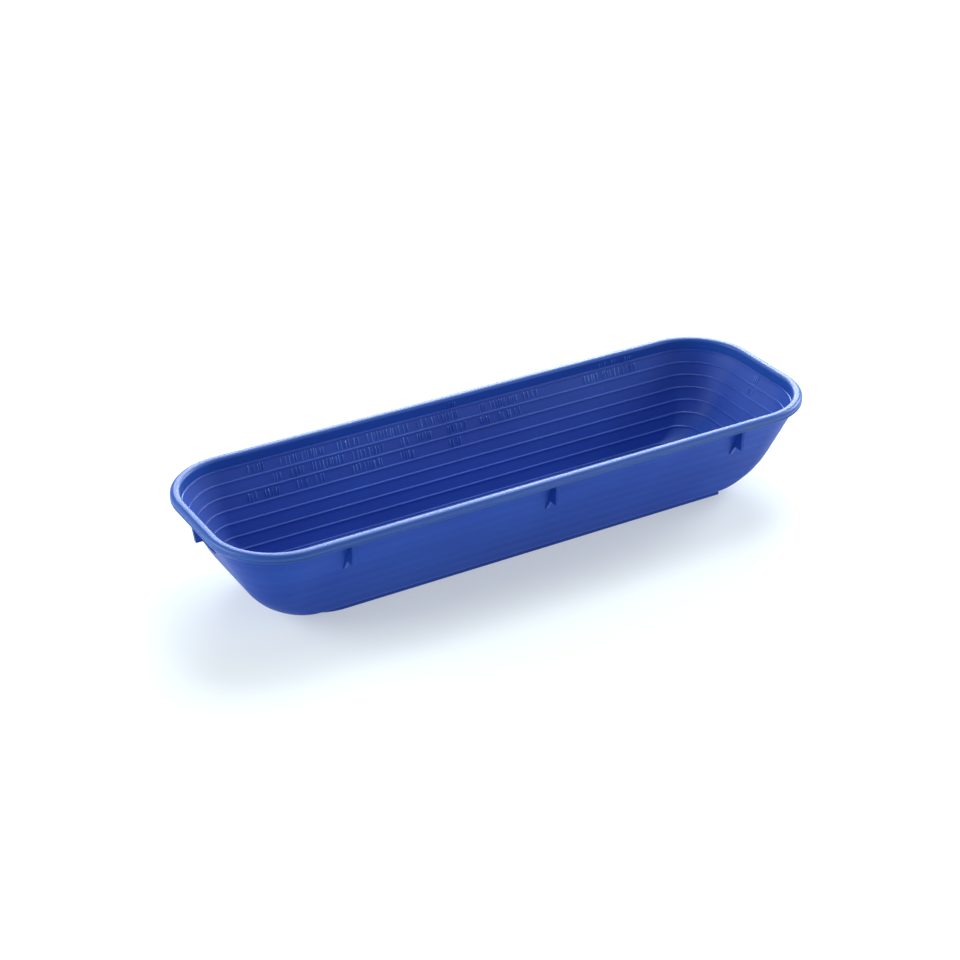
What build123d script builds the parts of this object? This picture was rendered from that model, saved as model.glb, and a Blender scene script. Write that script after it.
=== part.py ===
from build123d import *
from math import asin, cos, radians, sin, tan
import os

# Long stackable basket for proofing dough: one plastic moulding, modelled as its
# moulded regions, each a closed solid that meets its neighbours face to face.
# X runs along the length, Y across, Z up, with the origin on the standing plane
# under the centre of the rim. "Depth" is measured down from the top of the rim,
# and "inset" is measured inwards from the rim's outermost outline.

# Overall size (mm)
rim_length = 400.0
rim_width = 128.0
rim_corner = 42.7
height = 65.0

# Rolled rim: a skirt outside and a leg inside, joined by a rounded crown
rim_height = 7.0
rim_thickness = 6.0
skirt_height = 5.0
skirt_thickness = 1.8
crown_thickness = 2.4
skirt_round = 2.4
leg_round = 1.8
wall_thickness = 2.0

# Walls: a straight draft, then an arc into the floor
side_draft = 24.2
side_curve = 4.5
end_draft = 26.8
end_curve = 43.0
bottom_corner = 11.0
corner_power = 0.95
foot_height = 3.0

# Coils that the inner face imitates, each parted from the next by a fine ridge
coil_pitch = 7.4
wall_coils = 8
ridge_width = 1.2
ridge_height = 0.6
ridge_shoulder = 0.2
floor_coils = 3
floor_ridge_height = 0.6
floor_ridge_corner = 4.0

# Stacking lugs: upright gussets in the rim's hollow, each with a low tail below
side_lug_pitch = 132.7
side_lug_centre = 1.4
side_lug_depth = 17.6
side_lug_draft = 0.2
end_lug_depth = 14.7
end_lug_draft = 1.4
lug_thickness = 2.5
lug_edge_inset = 0.3
lug_tail_depth = 25.0
lug_tail_reach = 2.0
lug_tail_end = 0.6

# Foot rails under the floor: the left end rises in a long arc, the right end is blunt
foot_left = -140.0
foot_right = 142.0
foot_lead_length = 18.0
foot_lead_radius = 58.0
foot_half_width = 33.0
foot_rail_thickness = 2.4
foot_end_radius = 1.1

# Worked out from the sizes above
wall_inset = rim_thickness - wall_thickness
top_corner = rim_corner - wall_inset
floor_depth = height - foot_height
inner_floor_depth = floor_depth - wall_thickness
coil_depths = [rim_height + coil_pitch * n for n in range(wall_coils)]
section_depths = [rim_height + coil_pitch / 2 * n for n in range(2 * wall_coils - 1)]
inner_depths = section_depths + [inner_floor_depth - ridge_width / 2, inner_floor_depth]
outer_depths = section_depths + [floor_depth - step for step in (1.7, 0.9, 0.3, 0.0)]

os.makedirs("parts", exist_ok=True)


def inset_at(depth, draft, curve, skin):
    """Inset of the wall at a depth, on a face set in by skin from the outside."""
    lean = radians(draft)
    radius = curve - skin
    arc_centre = floor_depth - curve
    tangent_depth = arc_centre + radius * sin(lean)
    inset = wall_inset + skin / cos(lean)
    inset += (min(depth, tangent_depth) - rim_height) * tan(lean)
    if depth > tangent_depth:
        turn = asin(min(1.0, (depth - arc_centre) / radius))
        inset += radius * (cos(lean) - cos(turn))
    return inset


def wall_outline(depth, skin=0.0):
    """Length, width and corner radius of the wall at a depth."""
    share = (depth - rim_height) / (floor_depth - rim_height)
    corner = top_corner + (bottom_corner - top_corner) * share**corner_power
    return (
        rim_length - 2 * inset_at(depth, end_draft, end_curve, skin),
        rim_width - 2 * inset_at(depth, side_draft, side_curve, skin),
        corner - skin,
    )


def section(depth, outline, inwards=0.0):
    """A rounded rectangle at a depth, drawn in by a distance."""
    length, width, corner = outline
    with BuildSketch(Plane.XY.offset(height - depth)) as face:
        RectangleRounded(
            length - 2 * inwards, width - 2 * inwards, corner - inwards
        )
    return face.sketch


def inner_outline(depth):
    """The inner wall's outline at any depth: straight between its sections."""
    lowest = len(inner_depths) - 1
    below = next((n for n, level in enumerate(inner_depths) if level >= depth), lowest)
    below = max(below, 1)
    upper, lower = inner_depths[below - 1], inner_depths[below]
    share = (depth - upper) / (lower - upper)
    top = wall_outline(upper, wall_thickness)
    bottom = wall_outline(lower, wall_thickness)
    return [a + (b - a) * share for a, b in zip(top, bottom)]


def finish(part, name):
    """Label a piece and write it as its own STEP file."""
    part.label = name
    export_step(part, f"parts/{name}.step")


# Shell: the drafted walls and the flat floor in one even skin
with BuildPart() as basket_shell:
    loft([section(d, wall_outline(d)) for d in outer_depths], ruled=True)
    loft(
        [section(d, wall_outline(d, wall_thickness)) for d in inner_depths],
        ruled=True,
        mode=Mode.SUBTRACT,
    )
finish(basket_shell.part, "basket_shell")

# Rolled rim: a leg on the top of the walls and a shorter skirt, hollow between
rim_outline = (rim_length, rim_width, rim_corner)
with BuildPart() as rolled_rim:
    for depth, outer, inner in (
        (rim_height, wall_inset, rim_thickness),
        (skirt_height, 0.0, wall_inset),
    ):
        with BuildSketch(Plane.XY.offset(height - depth)):
            add(section(height, rim_outline, outer))
            add(section(height, rim_outline, inner), mode=Mode.SUBTRACT)
        extrude(amount=depth)
    crown = rolled_rim.faces().sort_by(Axis.Z)[-1]
    fillet(crown.outer_wire().edges(), skirt_round)
    crown = rolled_rim.faces().sort_by(Axis.Z)[-1]
    fillet(crown.inner_wires()[0].edges(), leg_round)
    with BuildSketch(Plane.XY.offset(height - skirt_height)):
        add(section(height, rim_outline, skirt_thickness))
        add(section(height, rim_outline, wall_inset), mode=Mode.SUBTRACT)
    extrude(amount=skirt_height - crown_thickness, mode=Mode.SUBTRACT)
finish(rolled_rim.part, "rolled_rim")

# Coil ridges round the inner wall, one at the top of each coil
for number, top in enumerate(coil_depths, 1):
    levels = [top, top + ridge_width / 2, top + ridge_width]
    reaches = [ridge_shoulder, ridge_height, ridge_shoulder]
    with BuildPart() as wall_ridge:
        loft([section(d, inner_outline(d)) for d in levels], ruled=True)
        loft(
            [section(d, inner_outline(d), r) for d, r in zip(levels, reaches)],
            ruled=True,
            mode=Mode.SUBTRACT,
        )
    finish(wall_ridge.part, f"wall_coil_ridge_{number}")

# Coil ridges on the floor, nested inside one another
floor_length, floor_width, _ = wall_outline(inner_floor_depth, wall_thickness)
for number in range(1, floor_coils + 1):
    ring_length = floor_length - 2 * number * coil_pitch
    ring_width = floor_width - 2 * number * coil_pitch
    with BuildPart() as floor_ridge:
        with BuildSketch(Plane.XY.offset(height - inner_floor_depth)):
            RectangleRounded(ring_length, ring_width, floor_ridge_corner)
            RectangleRounded(
                ring_length - 2 * ridge_width,
                ring_width - 2 * ridge_width,
                floor_ridge_corner - ridge_width,
                mode=Mode.SUBTRACT,
            )
        extrude(amount=floor_ridge_height)
    finish(floor_ridge.part, f"floor_coil_ridge_{number}")


def lug_outline(half_span, draft, side, lug_depth, edge_draft):
    """Gusset from the rim's hollow down the wall, as (reach, height) points."""
    slope = tan(radians(draft))
    wall_mid = wall_inset + (lug_depth - rim_height) * slope
    wall_low = wall_inset + (lug_tail_depth - rim_height) * slope
    outline = [
        (wall_inset, rim_height),
        (wall_inset, crown_thickness),
        (skirt_thickness, crown_thickness),
        (skirt_thickness, skirt_height),
        (lug_edge_inset, skirt_height),
        (lug_edge_inset + edge_draft, lug_depth),
        (wall_mid - lug_tail_reach, lug_depth),
        (wall_low - lug_tail_end, lug_tail_depth),
        (wall_low, lug_tail_depth),
    ]
    return [(side * (half_span - inset), height - depth) for inset, depth in outline]


# Stacking lugs: three along each side and one at each end
for side, side_name in ((-1, "front"), (1, "back")):
    profile = lug_outline(rim_width / 2, side_draft, side, side_lug_depth, side_lug_draft)
    for step, place in ((-1, "left"), (0, "middle"), (1, "right")):
        with BuildPart() as side_lug:
            with BuildSketch(Plane.YZ.offset(side_lug_centre + step * side_lug_pitch)):
                Polygon(*profile, align=None)
            extrude(amount=lug_thickness / 2, both=True)
        finish(side_lug.part, f"stacking_lug_{side_name}_{place}")

for side, place in ((-1, "left"), (1, "right")):
    profile = lug_outline(rim_length / 2, end_draft, side, end_lug_depth, end_lug_draft)
    with BuildPart() as end_lug:
        with BuildSketch(Plane.XZ):
            Polygon(*profile, align=None)
        extrude(amount=lug_thickness / 2, both=True)
    finish(end_lug.part, f"stacking_lug_end_{place}")

# Foot rails: two straight runners, cut to the underside of the shell
rail_length = foot_right - foot_left
rail_centre = (foot_left + foot_right) / 2
for side, side_name in ((-1, "front"), (1, "back")):
    with BuildPart() as foot_rail:
        with BuildSketch(Plane.XY):
            with Locations((rail_centre, side * (foot_half_width - foot_rail_thickness / 2))):
                RectangleRounded(rail_length, foot_rail_thickness, foot_end_radius)
        extrude(amount=2 * foot_height)
        with BuildSketch(Plane.XZ):
            with Locations((foot_left, 0)):
                Rectangle(foot_lead_length, foot_height, align=(Align.MIN, Align.MIN))
            with Locations((foot_left + foot_lead_length, foot_lead_radius)):
                Circle(foot_lead_radius, mode=Mode.SUBTRACT)
        extrude(amount=foot_half_width, both=True, mode=Mode.SUBTRACT)
        add(basket_shell.part, mode=Mode.SUBTRACT)
        kept = foot_rail.solids().sort_by(Axis.Z)[0]
    finish(kept, f"foot_rail_{side_name}")
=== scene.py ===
import math
import random

import bmesh
import bpy
import numpy as np
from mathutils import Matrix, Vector


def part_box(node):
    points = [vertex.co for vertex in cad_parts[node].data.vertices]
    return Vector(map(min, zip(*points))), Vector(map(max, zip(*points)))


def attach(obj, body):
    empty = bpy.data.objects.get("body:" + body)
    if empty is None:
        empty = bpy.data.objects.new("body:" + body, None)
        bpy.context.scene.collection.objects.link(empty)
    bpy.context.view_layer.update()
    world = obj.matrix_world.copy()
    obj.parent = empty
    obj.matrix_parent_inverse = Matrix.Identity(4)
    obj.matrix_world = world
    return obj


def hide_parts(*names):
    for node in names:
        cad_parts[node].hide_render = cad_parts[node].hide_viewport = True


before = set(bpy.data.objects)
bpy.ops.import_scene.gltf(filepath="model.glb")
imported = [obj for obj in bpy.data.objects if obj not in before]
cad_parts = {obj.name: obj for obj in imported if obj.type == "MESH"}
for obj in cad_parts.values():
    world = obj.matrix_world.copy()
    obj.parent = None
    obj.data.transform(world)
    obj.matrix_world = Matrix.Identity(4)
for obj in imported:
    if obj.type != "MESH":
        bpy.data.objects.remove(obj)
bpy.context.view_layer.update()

# Looks of a long plastic basket for proofing dough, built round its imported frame.
# Sizes are in millimetres and in the frame's axes; MM turns them into metres as a
# mesh is made. "Depth" is measured down from the top of the rim, and "inset"
# inwards from the rim's outermost outline.
MM = 0.001


def span(node):
    """Lowest and highest corner of a CAD node, in millimetres."""
    low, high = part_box(node)
    return np.array(low) / MM, np.array(high) / MM


# Overall size, from the frame
rim_low, rim_high = span("rolled_rim")
rim_length, rim_width, rim_height = rim_high - rim_low
height = rim_high[2]
foot_height = span("basket_shell")[0][2]
floor_depth = height - foot_height

# Rim
rim_corner = 42.7
rim_thickness = 6.0
skirt_height = 5.0
skirt_thickness = 1.8
crown_thickness = 2.4
wall_thickness = 2.0
wall_inset = rim_thickness - wall_thickness

# Walls: a straight draft, then an arc into the floor
side_draft = 24.2
side_curve = 4.5
end_draft = 26.8
end_curve = 43.0
top_corner = rim_corner - wall_inset
bottom_corner = 11.0
corner_power = 0.95
inner_floor_depth = floor_depth - wall_thickness

# Coils that the inner face imitates, and their faint echo on the outside
coil_pitch = 7.4
wall_coils = sum(name.startswith("wall_coil_ridge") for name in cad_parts)
floor_coils = sum(name.startswith("floor_coil_ridge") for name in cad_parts)
coil_tops = [rim_height + coil_pitch * n for n in range(wall_coils)]
ridge_width = 1.2
coil_echo = 0.1

# Mesh steps round an outline, and the angles (degrees) that count as an edge
corner_steps = 24
long_steps = 96
short_steps = 16
bevel_from = 20.0
sharp_from = 40.0


# ---------------------------------------------------------------- outlines

def inset_at(depth, draft, curve, skin):
    """Inset of the wall at a depth, on a face set in by skin from the outside."""
    lean = math.radians(draft)
    radius = curve - skin
    arc_centre = floor_depth - curve
    tangent_depth = arc_centre + radius * math.sin(lean)
    inset = wall_inset + skin / math.cos(lean)
    inset += (min(depth, tangent_depth) - rim_height) * math.tan(lean)
    if depth > tangent_depth:
        turn = math.asin(min(1.0, (depth - arc_centre) / radius))
        inset += radius * (math.cos(lean) - math.cos(turn))
    return inset


def corner_at(depth):
    """Corner radius of the outside of the wall at a depth."""
    share = max(0.0, (depth - rim_height) / (floor_depth - rim_height))
    return top_corner + (bottom_corner - top_corner) * share**corner_power


def outline(length, width, corner, depth):
    """Points round a level rounded rectangle, the same number whatever its size."""
    reach_x, reach_y = length / 2 - corner, width / 2 - corner
    quarters = (
        ((reach_x, reach_y), (-2 * reach_x, 0), long_steps),
        ((-reach_x, reach_y), (0, -2 * reach_y), short_steps),
        ((-reach_x, -reach_y), (2 * reach_x, 0), long_steps),
        ((reach_x, -reach_y), (0, 2 * reach_y), short_steps),
    )
    points = []
    for quarter, (centre, run, steps) in enumerate(quarters):
        for step in range(corner_steps + 1):
            angle = (quarter + step / corner_steps) * math.pi / 2
            turned = np.array([math.cos(angle), math.sin(angle)])
            points.append(np.array(centre) + corner * turned)
        start = points[-1]
        points += [start + np.array(run) * step / steps for step in range(1, steps)]
    return np.column_stack([np.array(points), np.full(len(points), height - depth)])


def wall_ring(depth, skin, inwards=0.0):
    """Outline of the wall at a depth, drawn in by a further distance."""
    end = inset_at(depth, end_draft, end_curve, skin) + inwards
    side = inset_at(depth, side_draft, side_curve, skin) + inwards
    corner = corner_at(depth) - (skin + inwards)
    return outline(rim_length - 2 * end, rim_width - 2 * side, corner, depth)


def rim_ring(inset, depth):
    """Outline of the rim at an inset and a depth."""
    return outline(rim_length - 2 * inset, rim_width - 2 * inset, rim_corner - inset, depth)


def steps_between(start, end, step):
    """Values from start to end, no further apart than step."""
    count = max(1, math.ceil((end - start) / step - 1e-6))
    return [start + (end - start) * n / count for n in range(count + 1)]


# ---------------------------------------------------------------- meshes

def loft(rings, closed=False, capped=False):
    """Points and faces of a skin through rings that have the same number of points."""
    count, size = len(rings), len(rings[0])
    faces = []
    for a in range(count if closed else count - 1):
        b = (a + 1) % count
        for i in range(size):
            j = (i + 1) % size
            faces.append((a * size + i, a * size + j, b * size + j, b * size + i))
    if capped:
        faces.append(tuple(range(size)))
        faces.append(tuple((count - 1) * size + i for i in range(size)))
    return np.vstack(rings), faces


def append(points, faces, more_points, more_faces):
    """Add one mesh's points and faces to those of another."""
    faces += [tuple(i + len(points) for i in face) for face in more_faces]
    points += more_points


def add_piece(name, points, faces, material, nodes=(), bevel=0.0, painted_light_copy=None, painted_light_faces=()):
    """A mesh piece of the basket, riding on its one body; the given faces take a lighter copy of
    its plastic, painted light.
    """
    mesh = bpy.data.meshes.new(name)
    mesh.from_pydata((np.asarray(points) * MM).tolist(), [], faces)
    work = bmesh.new()
    work.from_mesh(mesh)
    bmesh.ops.recalc_face_normals(work, faces=work.faces)
    if bevel:
        corners = [e for e in work.edges if e.calc_face_angle(0.0) > math.radians(bevel_from)]
        bmesh.ops.bevel(work, geom=corners, offset=bevel * MM, segments=3,
                        profile=0.5, affect="EDGES", clamp_overlap=True)
    work.to_mesh(mesh)
    work.free()
    mesh.shade_smooth()
    mesh.set_sharp_from_angle(angle=math.radians(sharp_from))
    mesh.materials.append(material)
    if painted_light_copy:
        mesh.materials.append(painted_light_copy)
        for face in painted_light_faces:
            mesh.polygons[face].material_index = 1
    piece = bpy.data.objects.new(name, mesh)
    bpy.context.scene.collection.objects.link(piece)
    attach(piece, "root")
    if nodes:
        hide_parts(*nodes)


# ---------------------------------------------------------------- material

scuff_colour = (0.06, 0.14, 0.48)
streak_share, scuff_share = 0.16, 0.12
scuff_roughness, cloud_roughness = 0.14, 0.06
streak_relief = 1.5
bump_strength, bump_distance = 0.12, 0.0002


def plastic(name, base, shade, roughness, grain=1.0, gloss=0.2):
    """Moulded polypropylene: cloudy colour, flow streaks, fine scuffs and orange peel."""
    material = bpy.data.materials.new(name)
    material.use_nodes = True
    tree = material.node_tree
    shader = tree.nodes["Principled BSDF"]
    place = tree.nodes.new("ShaderNodeTexCoord")

    def node(kind, inputs, **settings):
        """A new node; an input is either another node's output or a plain value."""
        made = tree.nodes.new(kind)
        for key, value in settings.items():
            setattr(made, key, value)
        for key, value in inputs.items():
            if isinstance(value, bpy.types.NodeSocket):
                tree.links.new(value, made.inputs[key])
            else:
                made.inputs[key].default_value = value
        return made

    def noise(scale, detail, stretch=(1, 1, 1), contrast=(0.35, 0.65)):
        mapping = node("ShaderNodeMapping", {"Vector": place.outputs["Object"], "Scale": stretch})
        texture = node("ShaderNodeTexNoise",
                       {"Vector": mapping.outputs["Vector"], "Scale": scale, "Detail": detail})
        sharpen = node("ShaderNodeMapRange", {"Value": texture.outputs["Fac"],
                                              "From Min": contrast[0], "From Max": contrast[1]})
        return sharpen.outputs["Result"]

    def scaled(value, low, high):
        reach = node("ShaderNodeMapRange", {"Value": value, "To Min": low, "To Max": high})
        return reach.outputs["Result"]

    def blend(amount, first, second):
        mix = node("ShaderNodeMix", {}, data_type="RGBA")
        for socket, value in zip((mix.inputs[0], mix.inputs[6], mix.inputs[7]),
                                 (amount, first, second)):
            if isinstance(value, bpy.types.NodeSocket):
                tree.links.new(value, socket)
            else:
                socket.default_value = (*value, 1)
        return mix.outputs[2]

    def weighted(value, factor, addend):
        total = node("ShaderNodeMath", {0: value, 1: factor, 2: addend}, operation="MULTIPLY_ADD")
        return total.outputs[0]

    cloud = noise(scale=14, detail=3)
    streak = noise(scale=30, detail=4, stretch=(0.25, 2.5, 2.5))
    scuff = noise(scale=220, detail=6, stretch=(0.12, 1.0, 1.0), contrast=(0.66, 0.80))
    peel = noise(scale=1400, detail=2)
    streak_colour = tuple(1.5 * c + 0.01 for c in base)
    colour = blend(cloud, base, shade)
    colour = blend(scaled(streak, 0.0, streak_share), colour, streak_colour)
    colour = blend(scaled(scuff, 0.0, scuff_share), colour, scuff_colour)
    sheen = scaled(scuff, roughness, roughness + scuff_roughness)
    relief = weighted(streak, streak_relief, peel)
    bump = node("ShaderNodeBump", {"Strength": bump_strength * grain,
                                   "Distance": bump_distance, "Height": relief})
    tree.links.new(colour, shader.inputs["Base Color"])
    tree.links.new(weighted(cloud, cloud_roughness, sheen), shader.inputs["Roughness"])
    tree.links.new(bump.outputs["Normal"], shader.inputs["Normal"])
    shader.inputs["Specular IOR Level"].default_value = gloss
    return material


blue = (0.009, 0.062, 0.38)
deep_blue = (0.008, 0.051, 0.34)
# Lighter blue of the ridges, also the second tone of the marks: painted highlight where light
# catches them
painted_highlight_blue = (0.022, 0.096, 0.45)
# Inner faces: a lighter copy of the same blue plastic, painted light on the inside of the basket
inner_painted_light_blue, inner_painted_light_deep = (0.018, 0.076, 0.39), (0.015, 0.064, 0.36)
# The rim: a lighter, greener copy of the same plastic, painted light on its crown and leg
rim_painted_light_blue, rim_painted_light_deep = (0.019, 0.088, 0.37), (0.016, 0.078, 0.35)
# Much lighter blue of the slat marks: painted glints on them
mark_painted_glint_blue = (0.075, 0.20, 0.58)
shell_plastic = plastic("shell_plastic", blue, deep_blue, 0.38, gloss=0.15)
lining_plastic = plastic("lining_plastic", inner_painted_light_blue, inner_painted_light_deep, 0.5, gloss=0.34)
rim_plastic = plastic("rim_plastic", rim_painted_light_blue, rim_painted_light_deep, 0.34, grain=0.6, gloss=0.42)
ridge_plastic = plastic("ridge_plastic", painted_highlight_blue, blue, 0.32, grain=0.6, gloss=0.38)
mark_plastic = plastic("mark_plastic", mark_painted_glint_blue, painted_highlight_blue, 0.26, grain=0.6, gloss=0.5)
lug_plastic = plastic("lug_plastic", blue, deep_blue, 0.34)
foot_plastic = plastic("foot_plastic", blue, deep_blue, 0.44, grain=1.4)


# ---------------------------------------------------------------- shell

straight_step = 1.85                # mm
end_turn, side_turn = 2.6, 8.0      # degrees
least_step = 0.04                   # mm
tuck = 0.6                          # how far the walls reach up into the rim's leg


def echo(depth):
    """How far the coils' faint echo draws the outside in at a depth."""
    fade = min(1.0, max(0.0, (floor_depth - depth) / coil_pitch))
    return coil_echo * fade * (1 - math.cos(2 * math.pi * (depth - rim_height) / coil_pitch)) / 2


def wall_depths(skin):
    """Depths of the rings of a wall face: even on the straight, then even turns of each arc."""
    straight_end = floor_depth - end_curve * (1 - math.sin(math.radians(end_draft)))
    depths = steps_between(rim_height, straight_end, straight_step)
    for draft, curve, turn_step in ((end_draft, end_curve, end_turn),
                                    (side_draft, side_curve, side_turn)):
        for turn in steps_between(draft, 90.0, turn_step):
            depths.append(floor_depth - curve + (curve - skin) * math.sin(math.radians(turn)))
    depths.sort()
    kept = [depths[0]]
    for depth in depths[1:]:
        if depth - kept[-1] > least_step:
            kept.append(depth)
    return kept[:-1] + [floor_depth - skin]


def add_shell():
    """The walls and floor as one even skin, tucked into the rim's leg at the top."""
    outside = [wall_ring(depth, 0.0, echo(depth)) for depth in wall_depths(0.0)[::-1]]
    inside = [wall_ring(depth, wall_thickness) for depth in wall_depths(wall_thickness)]
    top_out, top_in = outside[-1].copy(), inside[0].copy()
    top_out[:, 2] += tuck
    top_in[:, 2] += tuck
    points, faces = loft(outside + [top_out, top_in] + inside, capped=True)
    # The inner walls and floor take the lighter copy of the plastic: painted light inside the
    # basket
    inner_from = (len(outside) + 1) * len(top_in)
    painted_light_faces = [*range(inner_from, len(faces) - 2), len(faces) - 1]
    add_piece("basket_skin", points, faces, shell_plastic, ["basket_shell"],
              painted_light_copy=lining_plastic, painted_light_faces=painted_light_faces)


# ---------------------------------------------------------------- rim

crown_reach, crown_drop = 2.6, 2.3      # the crown's rounding on the outside
inner_reach, inner_drop = 2.2, 1.9      # and on the inside
crown_steps = 12
leg_depths = (3.0, 4.5, 6.0)
hollow_round = 0.6
skirt_inner_end = skirt_height - 0.4
lip_depth, lip_round, lip_steps = 4.4, 0.6, 8
waist, waist_steps = 0.45, 8


def add_rim():
    """A rounded crown over a hollow, with a waisted skirt outside and a leg inside."""
    section = []
    for step in range(crown_steps + 1):         # outside of the crown, upwards
        angle = math.pi / 2 * step / crown_steps
        section.append((crown_reach * (1 - math.cos(angle)), crown_drop * (1 - math.sin(angle))))
    for step in range(crown_steps + 1):         # inside of the crown, downwards
        angle = math.pi / 2 * step / crown_steps
        section.append((rim_thickness - inner_reach * (1 - math.sin(angle)),
                        inner_drop * (1 - math.cos(angle))))
    section += [(rim_thickness, depth) for depth in (*leg_depths, rim_height)]
    section += [(wall_inset, rim_height), (wall_inset, crown_thickness + hollow_round),
                (wall_inset - hollow_round, crown_thickness),
                (skirt_thickness + hollow_round, crown_thickness),
                (skirt_thickness, crown_thickness + hollow_round),
                (skirt_thickness, skirt_inner_end)]
    for step in range(lip_steps + 1):           # round the lip, outwards and up
        angle = math.pi * step / lip_steps
        section.append((skirt_thickness / 2 + skirt_thickness / 2 * math.cos(angle),
                        lip_depth + lip_round * math.sin(angle)))
    for step in range(1, waist_steps):          # hollow waist, back up to the crown
        share = step / waist_steps
        depth = lip_depth + (crown_drop - lip_depth) * share
        section.append((waist * math.sin(math.pi * share), depth))
    points, faces = loft([rim_ring(inset, depth) for inset, depth in section], closed=True)
    # The rim takes the lighter copy of the plastic: painted light
    add_piece("rim_bead", points, faces, rim_plastic, ["rolled_rim"])


# ---------------------------------------------------------------- coil ridges

# Cross-section of a ridge, as (distance down the wall from its middle, reach from the
# wall): a gentle slope above the crest, where light from above falls, a short one below
ridge_section = [
    (-0.9, -0.2), (-0.6, 0.08), (-0.35, 0.25), (-0.1, 0.42), (0.12, 0.53), (0.3, 0.52),
    (0.42, 0.36), (0.5, 0.14), (0.6, -0.2), (0.6, -0.5), (-0.9, -0.5),
]
# Cross-section of a floor ridge, as (distance in from its outline, rise from the floor)
floor_ridge_section = [
    (-0.5, -0.05), (0.0, 0.12), (0.25, 0.42), (0.6, 0.6), (0.95, 0.42),
    (1.2, 0.12), (1.7, -0.05), (1.7, -0.4), (-0.5, -0.4),
]
floor_ridge_corner = 4.0


def side_shares():
    """How far each point of an outline belongs to a long side: 0 on the ends, 1 on the sides."""
    shares = []
    for quarter, steps in enumerate((long_steps, short_steps, long_steps, short_steps)):
        for step in range(corner_steps + 1):
            shares.append(math.sin((quarter + step / corner_steps) * math.pi / 2)**2)
        shares += [shares[-1]] * (steps - 1)
    return np.array(shares)


def off_wall(depth, draft, curve, along, reach):
    """Inset and depth of a point down the inner wall from a depth, and out from it."""
    lean = math.radians(draft)
    rise = (depth - (floor_depth - curve)) / (curve - wall_thickness)
    turn = lean if rise < math.sin(lean) else math.asin(min(1.0, rise))
    inset = inset_at(depth, draft, curve, wall_thickness)
    return (inset + along * math.sin(turn) + reach * math.cos(turn),
            depth + along * math.cos(turn) - reach * math.sin(turn))


def ridge_ring(depth, along, reach):
    """Outline of one line of a ridge, square to the wall on the sides and on the ends."""
    end, end_depth = off_wall(depth, end_draft, end_curve, along, reach)
    side, side_depth = off_wall(depth, side_draft, side_curve, along, reach)
    corner = corner_at((end_depth + side_depth) / 2) - (wall_thickness + reach)
    ring = outline(rim_length - 2 * end, rim_width - 2 * side, corner, 0)
    ring[:, 2] -= end_depth + (side_depth - end_depth) * side_shares()
    return ring


def add_wall_ridges():
    """One ridge at the top of each coil."""
    for number, top in enumerate(coil_tops, 1):
        middle = top + ridge_width / 2
        rings = [ridge_ring(middle, along, reach) for along, reach in ridge_section]
        points, faces = loft(rings, closed=True)
        # The ridges take the lighter plastic: painted highlight along them
        add_piece(f"coil_ridge_{number}", points, faces, ridge_plastic,
                  [f"wall_coil_ridge_{number}"])


def add_floor_ridges():
    """The coils go on over the floor, one inside another."""
    for number in range(1, floor_coils + 1):
        low, high = span(f"floor_coil_ridge_{number}")
        length, width = (high - low)[:2]
        rings = [outline(length - 2 * inwards, width - 2 * inwards,
                         floor_ridge_corner - inwards, inner_floor_depth - rise)
                 for inwards, rise in floor_ridge_section]
        points, faces = loft(rings, closed=True)
        # The floor ridges take the lighter plastic: painted highlight along them
        add_piece(f"floor_ridge_{number}", points, faces, ridge_plastic,
                  [f"floor_coil_ridge_{number}"])


# ---------------------------------------------------------------- slat marks

# Groups of short upright marks, as (first, last) along the length: 0 is on the rim's
# leg, 1 between the first two ridges, and so on down the wall
slat_groups = {
    0: [(-2, 3), (109, 112), (113, 116), (119, 122), (129, 134)],
    1: [(-140, -129), (-119, -107), (-104, -90), (-81, -65), (-60, -32), (-25, -16),
        (-15, 3), (19, 25), (27, 48), (51, 62), (97, 109), (111, 121), (123, 127), (129, 138)],
    2: [(-125, -117), (-113, -105), (-99, -78), (-72, -50), (-39, -32), (-27, -17),
        (-6, 8), (18, 26), (32, 47)],
    3: [(-143, -137), (-132, -122), (-111, -104), (-99, -91), (-73, -53), (-41, -32), (-6, 3)],
}
leg_band = (3.0, rim_height - 0.3)

# Each wall as (half its span, draft, curve)
long_wall = (rim_width / 2, side_draft, side_curve)
end_wall = (rim_length / 2, end_draft, end_curve)
rim_leg = (rim_width / 2, 0.0, side_curve)

# Ranges that a mark's size and place are drawn from, and the gain behind a lug
slat_offset = (0.0, 0.8)
slat_gap = (1.5, 3.6)
slat_width = (0.5, 1.1)
slat_reach = (0.22, 0.62)
slat_slant = (-0.3, 0.15)
top_ragged, bottom_ragged, leg_ragged = (0.0, 0.9), (0.0, 1.1), (0.0, 0.8)
lug_reach, lug_gain = 6.0, 1.5

end_mark_bands = (1, 2)
end_mark_places = (-1.6, 0.4, 2.0)
end_mark_width, end_mark_slant = 0.7, 0.2
end_mark_reach = (0.4, 0.6)

# A mark's swelling: (place across its width, rise) and (share of its length, rise)
slat_across = [(-0.5, -0.15), (-0.34, 0.7), (0.0, 1.0), (0.34, 0.7), (0.5, -0.15)]
slat_along = [(0.0, -0.1), (0.14, 0.8), (0.5, 1.0), (0.86, 0.8), (1.0, -0.1)]
slat_root = -0.4


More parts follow.
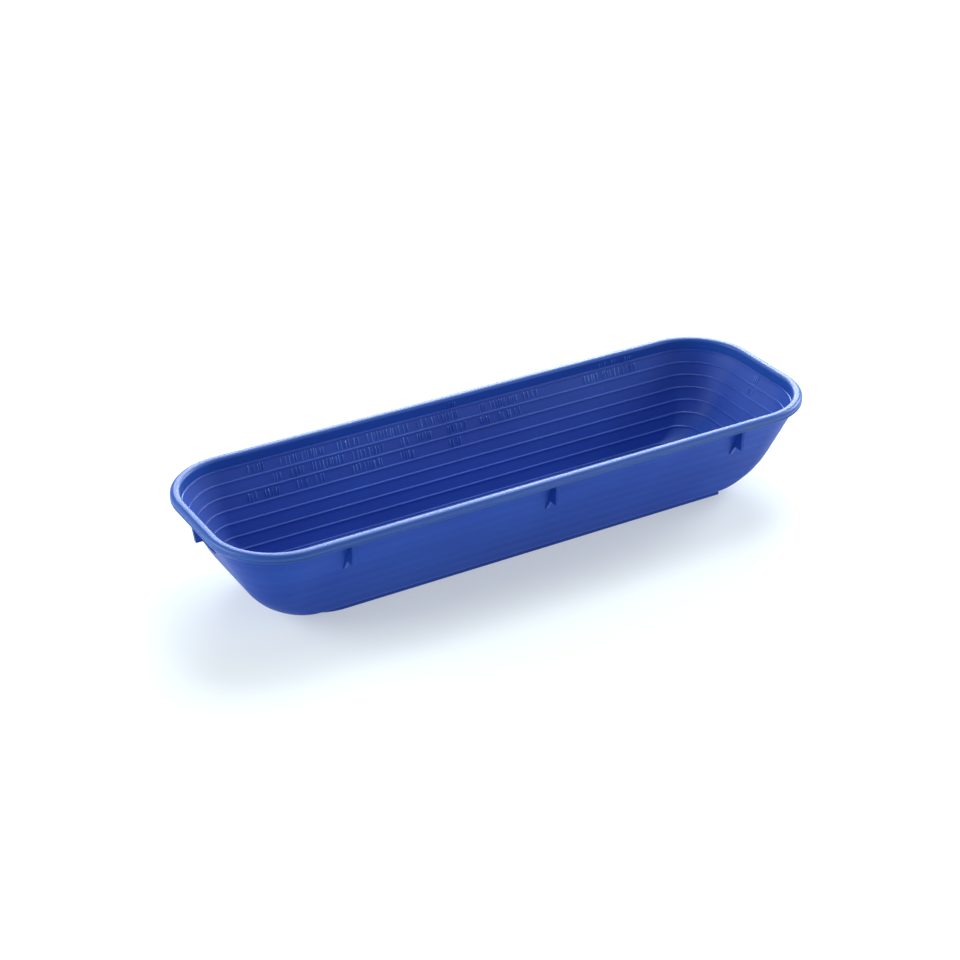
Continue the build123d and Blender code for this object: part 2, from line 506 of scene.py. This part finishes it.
def slat(wall, place, top, bottom, width, reach, slant):
    """Points and faces of one mark on a wall: a low rib with a rounded back.

    Points are (along the wall, out from the basket's centre, up)."""
    half_span, draft, curve = wall
    lean = math.radians(draft)
    points = []
    for share, swell in slat_along:
        depth = top + (bottom - top) * share
        out = half_span - inset_at(depth, draft, curve, wall_thickness)
        for side, rise in slat_across:
            lift = reach * (rise * swell if swell > 0 else slat_root)
            points.append((place + side * width + slant * (share - 0.5),
                           out - lift * math.cos(lean),
                           height - depth + lift * math.sin(lean)))
    size = len(slat_across)
    last = len(slat_along) - 1
    faces = [(a * size + b, a * size + b + 1, (a + 1) * size + b + 1, (a + 1) * size + b)
             for a in range(last) for b in range(size - 1)]
    faces.append(tuple(a * size for a in range(last + 1)))
    faces.append(tuple(a * size + size - 1 for a in range(last + 1)))
    faces.append(tuple(range(size)))
    faces.append(tuple(last * size + b for b in range(size)))
    return points, faces


def band_edges(band, draw):
    """Top and bottom of a mark, a little ragged, on the rim's leg or between two ridges."""
    if band == 0:
        return leg_band[0] + draw.uniform(*leg_ragged), leg_band[1]
    top = coil_tops[band - 1] + ridge_width + draw.uniform(*top_ragged)
    return top, coil_tops[band] - draw.uniform(*bottom_ragged)


def add_slats(name, turn, seed):
    """Marks like the slats of a cane basket on a long wall, strongest behind the lugs."""
    draw = random.Random(seed)
    lugs = [float(sum(span(f"stacking_lug_back_{end}"))[0] / 2)
            for end in ("left", "middle", "right")]
    points, faces = [], []
    for band, groups in slat_groups.items():
        wall = long_wall if band else rim_leg
        for first, last in groups:
            place = first + draw.uniform(*slat_offset)
            while place < last:
                top, bottom = band_edges(band, draw)
                near_lug = min(abs(place - lug) for lug in lugs) < lug_reach
                reach = draw.uniform(*slat_reach) * (lug_gain if near_lug else 1.0)
                made, linked = slat(wall, place, top, bottom, draw.uniform(*slat_width),
                                    reach, draw.uniform(*slat_slant))
                append(points, faces,
                       [(turn * along, turn * out, z) for along, out, z in made], linked)
                place += draw.uniform(*slat_gap)
    # The marks take the much lighter plastic: painted glints
    add_piece(name, points, faces, mark_plastic)


def add_end_marks():
    """The end lugs show through the end walls as a few short marks."""
    draw = random.Random(5)
    for side, side_name in ((-1, "left"), (1, "right")):
        points, faces = [], []
        for band in end_mark_bands:
            for place in end_mark_places:
                top, bottom = band_edges(band, draw)
                made, linked = slat(end_wall, place, top, bottom, end_mark_width,
                                    draw.uniform(*end_mark_reach), end_mark_slant)
                append(points, faces,
                       [(side * out, side * along, z) for along, out, z in made], linked)
        # The marks take the much lighter plastic: painted glints
        add_piece(f"slat_marks_{side_name}", points, faces, mark_plastic)


# ---------------------------------------------------------------- lugs

side_lug_depth, side_edge_draft = 17.6, 0.2
end_lug_depth, end_edge_draft = 14.7, 1.4
lug_edge_inset = 0.3
tail_reach, tail_end = 2.0, 0.6
lug_sunk = 0.5                          # into the rim and the wall
under_skirt = skirt_height - 0.2
lug_round = 0.28


def add_lugs():
    """Upright gussets in the rim's hollow, each with a low tail down the wall."""
    for node in sorted(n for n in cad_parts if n.startswith("stacking_lug")):
        low, high = span(node)
        middle = (low + high) / 2
        if "_end_" in node:
            along, across = 1, 0
            half_span, draft = rim_length / 2, end_draft
            lug_depth, edge_draft = end_lug_depth, end_edge_draft
        else:
            along, across = 0, 1
            half_span, draft = rim_width / 2, side_draft
            lug_depth, edge_draft = side_lug_depth, side_edge_draft
        tail_depth = height - low[2]
        half_thickness = (high - low)[along] / 2
        slope = math.tan(math.radians(draft))
        wall_mid, wall_low = (wall_inset + (depth - rim_height) * slope
                              for depth in (lug_depth, tail_depth))
        section = [
            (wall_inset + lug_sunk, rim_height),
            (wall_inset + lug_sunk, crown_thickness - lug_sunk),
            (skirt_thickness - lug_sunk, crown_thickness - lug_sunk),
            (skirt_thickness - lug_sunk, under_skirt),
            (lug_edge_inset, under_skirt),
            (lug_edge_inset + edge_draft, lug_depth),
            (wall_mid - tail_reach, lug_depth),
            (wall_low - tail_end, tail_depth),
            (wall_low + lug_sunk, tail_depth),
        ]
        side = math.copysign(1, middle[across])
        points = []
        for half in (-half_thickness, half_thickness):
            for inset, depth in section:
                point = [0.0, 0.0, height - depth]
                point[across] = side * (half_span - inset)
                point[along] = middle[along] + half
                points.append(point)
        size = len(section)
        faces = [tuple(range(size)), tuple(range(size, 2 * size))]
        faces += [(i, (i + 1) % size, size + (i + 1) % size, size + i) for i in range(size)]
        add_piece(node.replace("stacking_", ""), points, faces, lug_plastic, [node],
                  bevel=lug_round)


# ---------------------------------------------------------------- foot rails

lead_length, lead_radius, lead_step = 18.0, 58.0, 1.2
rail_step = 8
edge_round, edge_steps = 0.5, 4
end_round, end_steps = 1.1, 6
rail_bury = 1.0                         # up into the shell


def add_foot_rails():
    """Two runners with rounded lower edges: a long lead-in at the left, blunt at the right."""
    rounding = [edge_round * (1 - math.cos(math.pi / 2 * n / edge_steps))
                for n in range(edge_steps + 1)]
    for side_name in ("front", "back"):
        node = f"foot_rail_{side_name}"
        low, high = span(node)
        centre, half_width = (low[1] + high[1]) / 2, (high[1] - low[1]) / 2
        level_from, level_to = low[0] + lead_length, high[0] - end_round
        top = high[2] + rail_bury
        places = steps_between(low[0], level_from, lead_step)
        places += steps_between(level_from + rail_step, level_to, rail_step)
        places += [high[0] - end_round * (1 - math.sin(math.pi / 2 * n / end_steps))
                   for n in range(1, end_steps + 1)]
        rings = []
        for x in places:
            lead, tip = max(0.0, level_from - x), max(0.0, x - level_to)
            under = lead_radius - math.sqrt(lead_radius**2 - lead**2)
            half = half_width - end_round + math.sqrt(max(0.0, end_round**2 - tip**2))
            side = [(half - r, under + edge_round - math.sqrt(
                max(0.0, edge_round**2 - (edge_round - r)**2))) for r in rounding]
            ring = [(half, top)] + side + [(-y, z) for y, z in side[::-1]] + [(-half, top)]
            rings.append(np.array([(x, centre + y, z) for y, z in ring]))
        points, faces = loft(rings, capped=True)
        add_piece(f"runner_{side_name}", points, faces, foot_plastic, [node])


# ---------------------------------------------------------------- stage

floor_reach = 30000
floor_colour = (0.57, 0.60, 0.60, 1)
floor_glow, floor_glow_strength = (0.95, 1, 1, 1), 0.42
sky_colour = (0.94, 0.97, 1.0, 1)
sky_strength = 0.38
sky_tilt = (0.14, -0.03, 0.0)           # the sky is brighter towards this side

# Soft rectangular lights, in metres: name, place, point aimed at, size, watts, colour
cool, white = (0.88, 0.95, 1.0), (1, 1, 1)
softboxes = [
    ("top_softbox", (0.5, 0.5, 1.35), (0, 0, 0.05), (0.8, 0.6), 10.0, cool),
    ("left_softbox", (-1.35, 0.55, 0.7), (0, 0, 0.05), (1.3, 0.9), 20.0, cool),
    ("right_softbox", (1.45, 0.1, 0.7), (0, 0, 0.05), (0.6, 0.5), 16.0, cool),
    ("back_softbox", (0.67, 1.13, 0.63), (0, 0, 0.06), (1.1, 0.4), 20.0, cool),
    ("front_softbox", (0.85, -1.15, 0.32), (0, 0, 0.03), (0.5, 0.4), 2.5, white),
]

camera_place = (-0.58394, -0.96903, 0.6616)
camera_azimuth, camera_elevation = -30.4885, 29.0
camera_lens, camera_sensor = 80.25, 36.0


def link(name, data):
    """An object with this data, in the scene."""
    made = bpy.data.objects.new(name, data)
    bpy.context.scene.collection.objects.link(made)
    return made


def look(made, place, direction):
    """Put a light or a camera at a place, facing a direction."""
    made.location = place
    made.rotation_mode = "QUATERNION"
    made.rotation_quaternion = direction.to_track_quat("-Z", "Y")


def add_floor():
    """A plain pale floor."""
    mesh = bpy.data.meshes.new("floor")
    corners = [(x * floor_reach, y * floor_reach, 0)
               for x, y in ((-1, -1), (1, -1), (1, 1), (-1, 1))]
    mesh.from_pydata((np.array(corners) * MM).tolist(), [], [(0, 1, 2, 3)])
    material = bpy.data.materials.new("floor_paper")
    material.use_nodes = True
    shader = material.node_tree.nodes["Principled BSDF"]
    shader.inputs["Base Color"].default_value = floor_colour
    shader.inputs["Emission Color"].default_value = floor_glow
    shader.inputs["Emission Strength"].default_value = floor_glow_strength
    shader.inputs["Roughness"].default_value = 0.9
    shader.inputs["Specular IOR Level"].default_value = 0.1
    mesh.materials.append(material)
    floor = link("floor", mesh)


def add_lights():
    """Each softbox, aimed at its point."""
    for name, place, aim, size, power, colour in softboxes:
        data = bpy.data.lights.new(name, "AREA")
        data.shape = "RECTANGLE"
        data.size, data.size_y = size
        data.energy = power
        data.color = colour
        look(link(name, data), place, Vector(aim) - Vector(place))


def add_world():
    """Light from all round, stronger from one side."""
    world = bpy.data.worlds.new("studio")
    world.use_nodes = True
    tree = world.node_tree
    background = tree.nodes["Background"]
    background.inputs["Color"].default_value = sky_colour
    place = tree.nodes.new("ShaderNodeTexCoord")
    towards = tree.nodes.new("ShaderNodeVectorMath")
    towards.operation = "DOT_PRODUCT"
    towards.inputs[1].default_value = sky_tilt
    tree.links.new(place.outputs["Generated"], towards.inputs[0])
    level = tree.nodes.new("ShaderNodeMath")
    level.operation = "ADD"
    level.inputs[1].default_value = sky_strength
    tree.links.new(towards.outputs["Value"], level.inputs[0])
    tree.links.new(level.outputs[0], background.inputs["Strength"])
    bpy.context.scene.world = world


def add_camera():
    """Looks down on the basket from the front left."""
    data = bpy.data.cameras.new("camera")
    data.sensor_width = camera_sensor
    data.lens = camera_lens
    azimuth, elevation = math.radians(camera_azimuth), math.radians(camera_elevation)
    back = Vector((math.sin(azimuth) * math.cos(elevation),
                   -math.cos(azimuth) * math.cos(elevation), math.sin(elevation)))
    camera = link("camera", data)
    look(camera, camera_place, -back)
    bpy.context.scene.camera = camera


add_shell()
add_rim()
add_wall_ridges()
add_floor_ridges()
add_slats("slat_marks_back", 1, 7)
add_slats("slat_marks_front", -1, 11)
add_end_marks()
add_lugs()
add_foot_rails()

add_floor()
add_world()
add_lights()
add_camera()
bpy.context.scene.view_settings.view_transform = "Standard"
